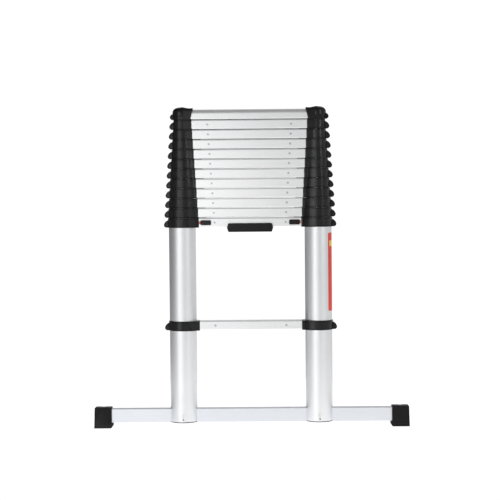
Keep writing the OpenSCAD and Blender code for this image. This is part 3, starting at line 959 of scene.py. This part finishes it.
def foot_outline(outer, inner, top, bar_bottom, sole):
    """Front outline of the right-hand foot, anticlockwise, standing on its sole at that height.

    The outer side leans in, the top dips a little, and a lip runs in under the bar.
    """
    dip = (outer + inner) / 2 - DIP_SHIFT
    lip = inner - FOOT_LIP
    head = outer - FOOT_LEAN
    lean = FOOT_LEAN / top
    middle_in, middle_down = FOOT_CORNER_MIDDLE
    underside = [
        (inner + SOLE_MARGIN - GROOVE_SLOPE * sole, sole), (outer - SOLE_CHAMFER, sole),
        (outer - lean * sole, max(sole, SOLE_CHAMFER)),
    ]
    outer_side = [
        (outer - lean * LIP_FOOT, LIP_FOOT), (outer - lean * top / 2, top / 2),
        (head + FOOT_CORNER_START, top - FOOT_CORNER), (head - middle_in, top - middle_down),
    ]
    upside = [
        (head - FOOT_CORNER, top), (dip + DIP_OUTWARD, top), (dip, top - FOOT_DIP), (dip - DIP_INWARD, top),
        (inner + FOOT_INNER_CORNER, top),
    ]
    lip_top = bar_bottom - LIP_DROP
    inner_side = [
        (inner, top - FOOT_INNER_CORNER), (inner, bar_bottom + BAR_CLEAR),
        (lip + LIP_CORNER, lip_top), (lip, lip_top - LIP_CORNER), (lip + LIP_SLOPE, LIP_FOOT),
    ]
    return underside + outer_side + upside + inner_side


def make_feet(materials):
    """Rubber feet, lofted from front to back, with grooves across the sole."""
    low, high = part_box("stabiliser_feet")
    bar_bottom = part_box("stabiliser_bar")[0].z
    start, outer = [x + FOOT_PROUD for x in right_half("stabiliser_feet")]
    half = (high.y - low.y) / 2
    pitch = 2 * (half - SOLE_MARGIN) / SOLE_GROOVES
    edge = rounded_edge(FOOT_EDGE)
    levels = [(inset, rise - half, 0) for inset, rise in edge]
    for i in range(SOLE_GROOVES):
        middle = (i - (SOLE_GROOVES - 1) / 2) * pitch
        for y, sole in ((-1, 0), (-1, 1), (1, 1), (1, 0)):
            levels.append((0, middle + y * GROOVE_WIDTH / 2, sole * GROOVE_HEIGHT))
    levels += [(inset, half - rise, 0) for inset, rise in reversed(edge)]
    loops = []
    for inset, y, sole in levels:
        outline = foot_outline(outer, start + FOOT_STEP, high.z, bar_bottom, sole)
        loops.append([(x, y, z) for x, z in inset_outline(outline, inset)])
    verts, faces = loft(loops)
    for side, side_name in SIDE_NAMES.items():
        name = f"foot_{side_name}"
        mesh = make_mesh(name, ([(side * x, y, z) for x, y, z in verts], faces))
        add_piece(name, mesh, [materials["rubber"]], "base", ["stabiliser_feet"])


BUTTON_GAP = 0.3 * MM
BUTTON_CORNER = 3.6 * MM
BUTTON_EDGES = (0.4 * MM, 1.3 * MM)
BUTTON_STEPS = 4
DETAIL_RISE = 0.5 * MM
RIDGE_SIZE = (18 * MM, 3.6 * MM)
RIDGE_CORNER = 1.6 * MM
RIDGE_ROOT = 0.6 * MM
RIDGE_EDGES = (0.1 * MM, 0.45 * MM)
RIDGE_SHIFT = 2.2 * MM
RIB_SIZE = (1.1 * MM, 8.4 * MM)
RIB_CORNER = 0.5 * MM
RIB_ROOT = 0.4 * MM
RIB_RISE = 0.3 * MM
RIB_EDGES = (0.1 * MM, 0.3 * MM)
RIB_STEPS = 2
RIB_START = 8.4 * MM
RIB_PITCH = 2 * MM
RIBS = 2


def facing_front(shape, x, z):
    """Stands a plate up at x and z, so that its height faces the front."""
    verts, faces = shape
    return [(u + x, -w, v + z) for u, v, w in verts], faces


def make_buttons(materials):
    """Thumb buttons: a rounded plate with a raised ridge and a row of fine ribs."""
    for side, side_name in SIDE_NAMES.items():
        node = f"release_button_{side_name}"
        low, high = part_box(node)
        back = BUTTON_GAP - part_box("rung_2")[0].y
        face = -low.y - DETAIL_RISE
        outline = rounded_rect(high.x - low.x, high.z - low.z, BUTTON_CORNER)
        base = plate(outline, bevelled_levels(back, face, *BUTTON_EDGES, BUTTON_STEPS))
        ridge_levels = bevelled_levels(face - RIDGE_ROOT, -low.y, *RIDGE_EDGES)
        ridge = moved(plate(rounded_rect(*RIDGE_SIZE, RIDGE_CORNER), ridge_levels), x=-side * RIDGE_SHIFT)
        rib = plate(
            rounded_rect(*RIB_SIZE, RIB_CORNER),
            bevelled_levels(face - RIB_ROOT, face + RIB_RISE, *RIB_EDGES, RIB_STEPS),
        )
        ribs = [moved(rib, x=side * (RIB_START + RIB_PITCH * i)) for i in range(RIBS)]
        shape = facing_front(joined(base, ridge, *ribs), (low.x + high.x) / 2, (low.z + high.z) / 2)
        name = f"thumb_button_{side_name}"
        mesh = make_mesh(name, shape)
        add_piece(name, mesh, [materials["button"]], f"release_{side_name}", [node])


GRIP_TIP = 4 * MM
GRIP_TIP_INSET = 0.4 * MM
GRIP_CORNER = 1.2 * MM
GRIP_GAP = 0.2 * MM
GRIP_EDGE = 1 * MM
GRIP_BACK_EDGE = 0.3 * MM
GRIP_RIM = 2 * MM
GRIP_RIM_RISE = 0.7 * MM
# Steps down from the rim to the sunken face: further inset, and share of the rim's rise
GRIP_RIM_STEPS = ((0, 0), (0.5 * MM, 0.25), (0.9 * MM, 1))
SHELF_THICK = 3 * MM
SHELF_CORNER = 2.5 * MM
SHELF_EDGES = (0.7 * MM, 0.3 * MM)
SHELF_ROOT = 1 * MM
SHELF_RIBS = 4
SHELF_RIB_FOOT = 1.5 * MM
SHELF_RIB_EDGE = 0.5 * MM


def grip_face(low, high, back):
    """Front plate of the grip, pointed at both ends, with a rim round a slightly sunken face."""
    half, middle, front = high.x, (low.z + high.z) / 2, -low.y
    tip, shoulder = half - GRIP_TIP + GRIP_TIP_INSET, half - GRIP_TIP - GRIP_CORNER
    low_corner, high_corner = low.z + GRIP_CORNER, high.z - GRIP_CORNER
    outline = [
        (-half, middle), (-tip, low_corner), (-shoulder, low.z), (shoulder, low.z), (tip, low_corner),
        (half, middle), (tip, high_corner), (shoulder, high.z), (-shoulder, high.z), (-tip, high_corner),
    ]
    levels = [(GRIP_BACK_EDGE, -back), (0, GRIP_BACK_EDGE - back)]
    levels += [(inset, front - rise) for inset, rise in reversed(rounded_edge(GRIP_EDGE))]
    levels += [(GRIP_RIM + inset, front - share * GRIP_RIM_RISE) for inset, share in GRIP_RIM_STEPS]
    return facing_front(plate(outline, levels), 0, 0)


def grip_shelf(low, high, back, top):
    """Shelf that runs back under rung 2, on ribs that taper to its end."""
    half, end, root, under = high.x - 2 * GRIP_TIP, high.y, back - SHELF_ROOT, top - SHELF_THICK
    outline = rounded_rect(2 * half, end - root, SHELF_CORNER)
    shelf = moved(plate(outline, bevelled_levels(under, top, *SHELF_EDGES)), y=(end + root) / 2)
    foot, edge = low.z + SHELF_RIB_FOOT, SHELF_RIB_EDGE
    profile = [
        (root, foot), (back + SHELF_ROOT, foot), (end - 2 * SHELF_ROOT, under - SHELF_RIB_FOOT),
        (end - SHELF_ROOT, top - SHELF_ROOT), (root, top - SHELF_ROOT),
    ]
    ribs = []
    for i in range(SHELF_RIBS):
        x = (i / (SHELF_RIBS - 1) - 0.5) * (2 * half - SHELF_THICK)
        verts, faces = plate(profile, bevelled_levels(x - SHELF_THICK / 2, x + SHELF_THICK / 2, edge, edge))
        ribs.append(([(w, y, z) for y, z, w in verts], faces))
    return joined(shelf, *ribs)


def make_grip(materials):
    low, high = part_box("carry_grip")
    rung_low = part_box("rung_2")[0]
    back = rung_low.y - GRIP_GAP
    shape = joined(grip_face(low, high, back), grip_shelf(low, high, back, rung_low.z - GRIP_GAP))
    mesh = make_mesh("grip_plate", shape)
    add_piece("grip_plate", mesh, [materials["grip"]], "base", ["carry_grip"])


INDICATOR_SLIVER = 2.6 * MM
INDICATOR_GAP = 0.25 * MM
INDICATOR_HEIGHT = 8.6 * MM
INDICATOR_CORNER = 0.6 * MM
INDICATOR_RISE = 1.6 * MM
INDICATOR_SUNK = 0.1 * MM
INDICATOR_EDGES = (0.1 * MM, 0.5 * MM)


def make_indicators(materials):
    """Small red marks on rung 2, outboard of the thumb buttons. The right-hand one is a narrower sliver."""
    rung_low, rung_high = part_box("rung_2")
    levels = bevelled_levels(-rung_low.y - INDICATOR_SUNK, INDICATOR_RISE - rung_low.y, *INDICATOR_EDGES)
    for side, side_name in SIDE_NAMES.items():
        low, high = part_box(f"release_button_{side_name}")
        button_edge = max(abs(low.x), abs(high.x))
        room = rung_high.x - button_edge - 2 * INDICATOR_GAP
        width = room if side == LEFT else INDICATOR_SLIVER
        centre = button_edge + INDICATOR_GAP + width / 2
        mark = plate(rounded_rect(width, INDICATOR_HEIGHT, INDICATOR_CORNER), levels)
        name = f"lock_indicator_{side_name}"
        mesh = make_mesh(name, facing_front(mark, side * centre, (rung_low.z + rung_high.z) / 2))
        add_piece(name, mesh, [materials["indicator"]], "base")


LABEL_START = math.radians(44.5)
LABEL_ARC = 54 * MM
LABEL_LOW = 329 * MM
LABEL_HIGH = 549 * MM
LABEL_THICK = 0.15 * MM
LABEL_GAP = 0.02 * MM
LABEL_CORNER = 5 * MM
LABEL_CORNER_STEPS = 6
LABEL_ROWS = 60
LABEL_COLUMNS = 40
PATCH_LOW = 511 * MM
PATCH_HIGH = 527 * MM
PATCH_SIDE = 6 * MM


def label_levels():
    """Heights of the label's rows: evenly spaced, closer at its corners, and at the patch's edges."""
    height = LABEL_HIGH - LABEL_LOW
    levels = [LABEL_LOW + height * i / LABEL_ROWS for i in range(LABEL_ROWS + 1)] + [PATCH_LOW, PATCH_HIGH]
    for i in range(LABEL_CORNER_STEPS + 1):
        rise = LABEL_CORNER * (1 - math.cos(math.pi / 2 * i / LABEL_CORNER_STEPS))
        levels += [LABEL_LOW + rise, LABEL_HIGH - rise]
    return sorted(set(round(z, 6) for z in levels))


def corner_inset(z):
    """How far a rounded corner draws the label's side in."""
    from_end = min(z - LABEL_LOW, LABEL_HIGH - z)
    if from_end >= LABEL_CORNER:
        return 0.0
    return LABEL_CORNER - math.sqrt(max(LABEL_CORNER ** 2 - (LABEL_CORNER - from_end) ** 2, 0))


def make_label(materials):
    """Plain label wrapped round the outer side of the right-hand base tube, with a plain yellow patch."""
    radius = tube_radius(1)
    levels = label_levels()
    verts = []
    for r in (radius + LABEL_GAP, radius + LABEL_THICK):
        for z in levels:
            inset = corner_inset(z)
            for j in range(LABEL_COLUMNS + 1):
                along = inset + (LABEL_ARC - 2 * inset) * j / LABEL_COLUMNS
                a = LABEL_START + along / radius
                verts.append((TUBE_AXIS + r * math.sin(a), -r * math.cos(a), z))
    wide = LABEL_COLUMNS + 1
    last_row = (len(levels) - 1) * wide
    outer = len(levels) * wide
    faces = []
    for start in (0, outer):
        for row in range(start, start + last_row, wide):
            faces += [(a, a + 1, a + wide + 1, a + wide) for a in range(row, row + LABEL_COLUMNS)]
    rim = list(range(wide)) + [row + LABEL_COLUMNS for row in range(wide, last_row + 1, wide)]
    rim += list(reversed(range(last_row, last_row + LABEL_COLUMNS))) + list(range(last_row - wide, 0, -wide))
    faces += [(a, b, b + outer, a + outer) for a, b in zip(rim, rim[1:] + rim[:1])]
    mesh = make_mesh("side_label", (verts, faces))
    films = [materials["label_red"], materials["label_yellow"]]
    add_piece("side_label", mesh, films, "base")
    first = LABEL_START + PATCH_SIDE / radius
    last = LABEL_START + (LABEL_ARC - PATCH_SIDE) / radius
    for face in mesh.polygons:
        middle = face.center
        if PATCH_LOW < middle.z < PATCH_HIGH and first < math.atan2(middle.x - TUBE_AXIS, -middle.y) < last:
            face.material_index = 1


# ---------------------------------------------------------------- CAD nodes that stay

WELD_DISTANCE = 0.002 * MM
SCREW_BEVEL = 0.25 * MM
BOLT_BEVEL = 0.4 * MM
BEVEL_ANGLE = math.radians(40)
BEVEL_SEGMENTS = 3


def dress(node, material, bevel=None, outboard=None):
    """Gives a CAD node its material, and fine rounded edges where bevel says how wide.

    outboard is the material of its faces outside the tubes' axes, where the pinch screws are.
    """
    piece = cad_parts[node]
    if not piece.material_slots:
        piece.data.materials.append(material)
    for slot in piece.material_slots:
        slot.material = material
    if outboard:
        piece.data.materials.append(outboard)
        for face in piece.data.polygons:
            if abs(face.center.x) > TUBE_AXIS:
                face.material_index = len(piece.data.materials) - 1
    if bevel:
        weld = piece.modifiers.new("weld", "WELD")
        weld.merge_threshold = WELD_DISTANCE
        round_edges = piece.modifiers.new("round", "BEVEL")
        round_edges.width = bevel
        round_edges.segments = BEVEL_SEGMENTS
        round_edges.limit_method = "ANGLE"
        round_edges.angle_limit = BEVEL_ANGLE
        round_edges.use_clamp_overlap = True
        even_shading(piece)


def dress_nodes(materials):
    for k in range(1, TOP + 1):
        dress(f"rung_{k}", materials["rung"])
    for k in range(3, TOP + 1):
        dress(tube_node(k), materials["tube"])
    for k in range(3, TOP):
        dress(f"locks_and_fixings_{k}", materials["zinc"], SCREW_BEVEL, materials["black_oxide"])
    dress("base_tubes", materials["tube"])
    dress("tube_plugs", materials["plug"])
    dress("stabiliser_bar", materials["bar"])
    dress("stabiliser_bolts", materials["bright_zinc"], BOLT_BEVEL)
    dress("base_fasteners", materials["zinc"], SCREW_BEVEL, materials["black_oxide"])
    for side_name in SIDE_NAMES.values():
        dress(f"lock_pin_{side_name}", materials["zinc"])
        dress(f"lock_spring_{side_name}", materials["spring"])


make_camera()
make_world()
make_lights()
bpy.context.scene.view_settings.view_transform = "Standard"
MATERIALS = make_materials()
make_floor(MATERIALS["floor"])
dress_nodes(MATERIALS)
make_collars(MATERIALS)
make_bushes(MATERIALS)
make_caps(MATERIALS)
make_feet(MATERIALS)
make_buttons(MATERIALS)
make_grip(MATERIALS)
make_indicators(MATERIALS)
make_label(MATERIALS)
